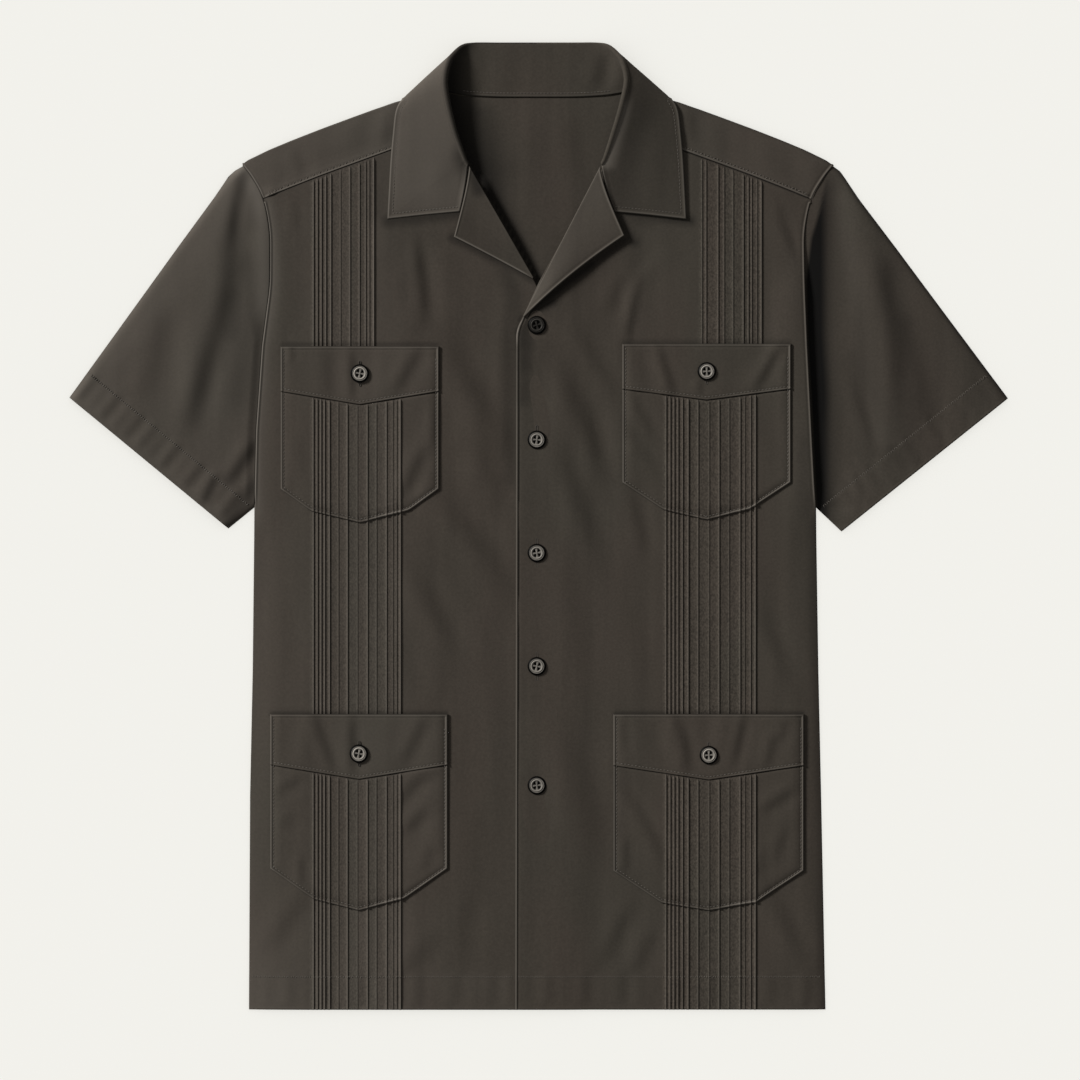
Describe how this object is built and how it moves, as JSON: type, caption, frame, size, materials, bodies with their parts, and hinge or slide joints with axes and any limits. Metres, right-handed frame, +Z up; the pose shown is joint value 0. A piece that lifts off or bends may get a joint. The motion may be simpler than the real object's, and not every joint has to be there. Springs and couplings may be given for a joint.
{
  "type": "camp shirt",
  "caption": "Short-sleeved camp shirt with a notched open collar, tucked fronts, banded patch pockets and a straight hem, laid flat on its back.",
  "frame": {"origin": "centre of the bounding box, on the surface the shirt lies on", "axes": "+X to the wearer's left side, +Y to the collar, +Z up from the surface, out of the front of the shirt"},
  "size_m": [0.7824, 0.8059, 0.0161],
  "materials": {
    "cloth": "plain-woven, matt, with a slight sheen on folds",
    "button": "satin, four holes, raised rim"
  },
  "bodies": {
    "root": {"back": "cloth", "front_right": "cloth", "front_left": "cloth", "pocket_chest_right": "cloth", "band_chest_right": "cloth", "pocket_chest_left": "cloth", "band_chest_left": "cloth", "pocket_hip_right": "cloth", "band_hip_right": "cloth", "pocket_hip_left": "cloth", "band_hip_left": "cloth", "lapel_right": "cloth", "lapel_left": "cloth", "collar": "cloth", "sleeve_right": "cloth", "sleeve_left": "cloth", "button_chest_right": "button", "button_chest_left": "button", "button_hip_right": "button", "button_hip_left": "button", "button_front_1": "button", "button_front_2": "button", "button_front_3": "button", "button_front_4": "button", "button_front_5": "button"}
  },
  "joints": []
}
